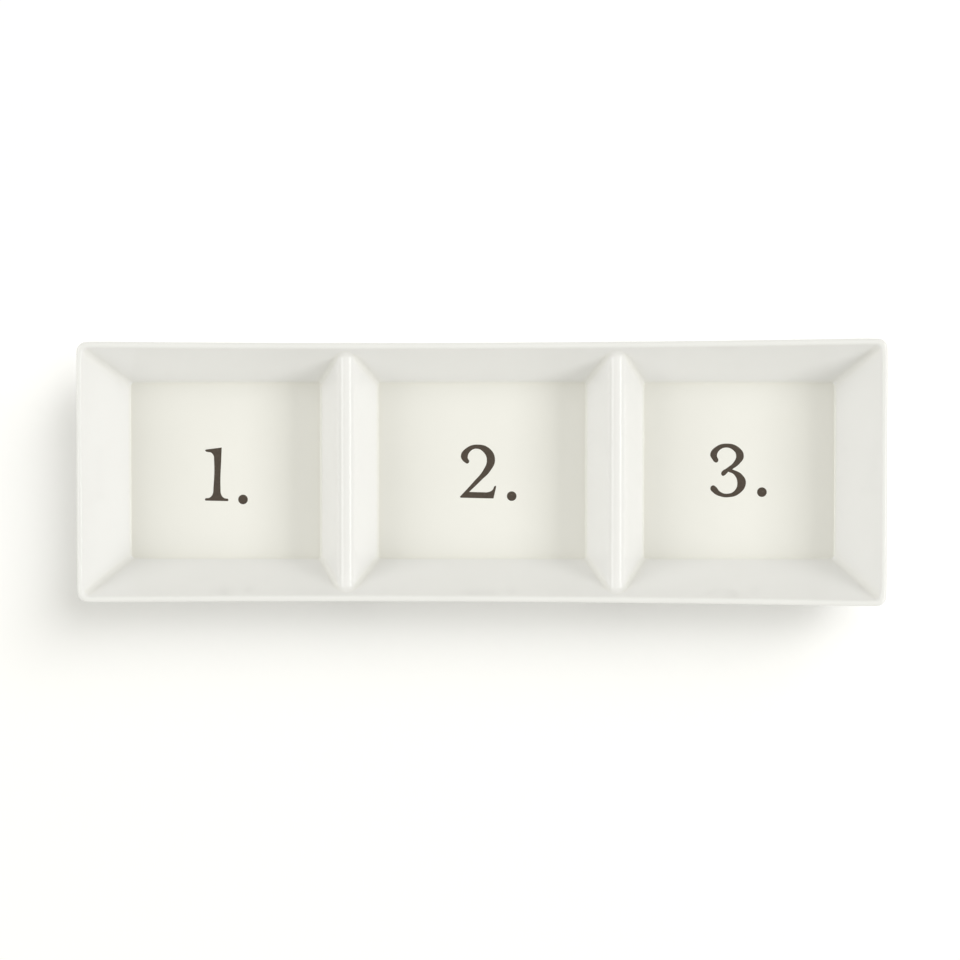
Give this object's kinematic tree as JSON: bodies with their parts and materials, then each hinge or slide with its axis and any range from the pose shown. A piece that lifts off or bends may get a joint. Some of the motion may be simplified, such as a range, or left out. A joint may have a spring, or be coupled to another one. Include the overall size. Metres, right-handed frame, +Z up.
{
  "type": "divided serving bowl",
  "caption": "Long rectangular glazed stoneware serving dish with square wells in a row, parted by rounded dividers that stand lower than its rim, on foot rings.",
  "frame": {"origin": "on the surface that the dish stands on, below the middle of its length and depth", "axes": "+X along the row of wells, from the first to the third, +Y to the back, +Z up"},
  "size_m": [0.38, 0.1256, 0.038],
  "materials": {
    "stoneware": "bare fired clay, matte, seen on the foot rings only",
    "glaze": "glossy off-white glaze"
  },
  "bodies": {
    "root": {"stoneware_body": "stoneware", "glaze_coat": "glaze"}
  },
  "joints": []
}
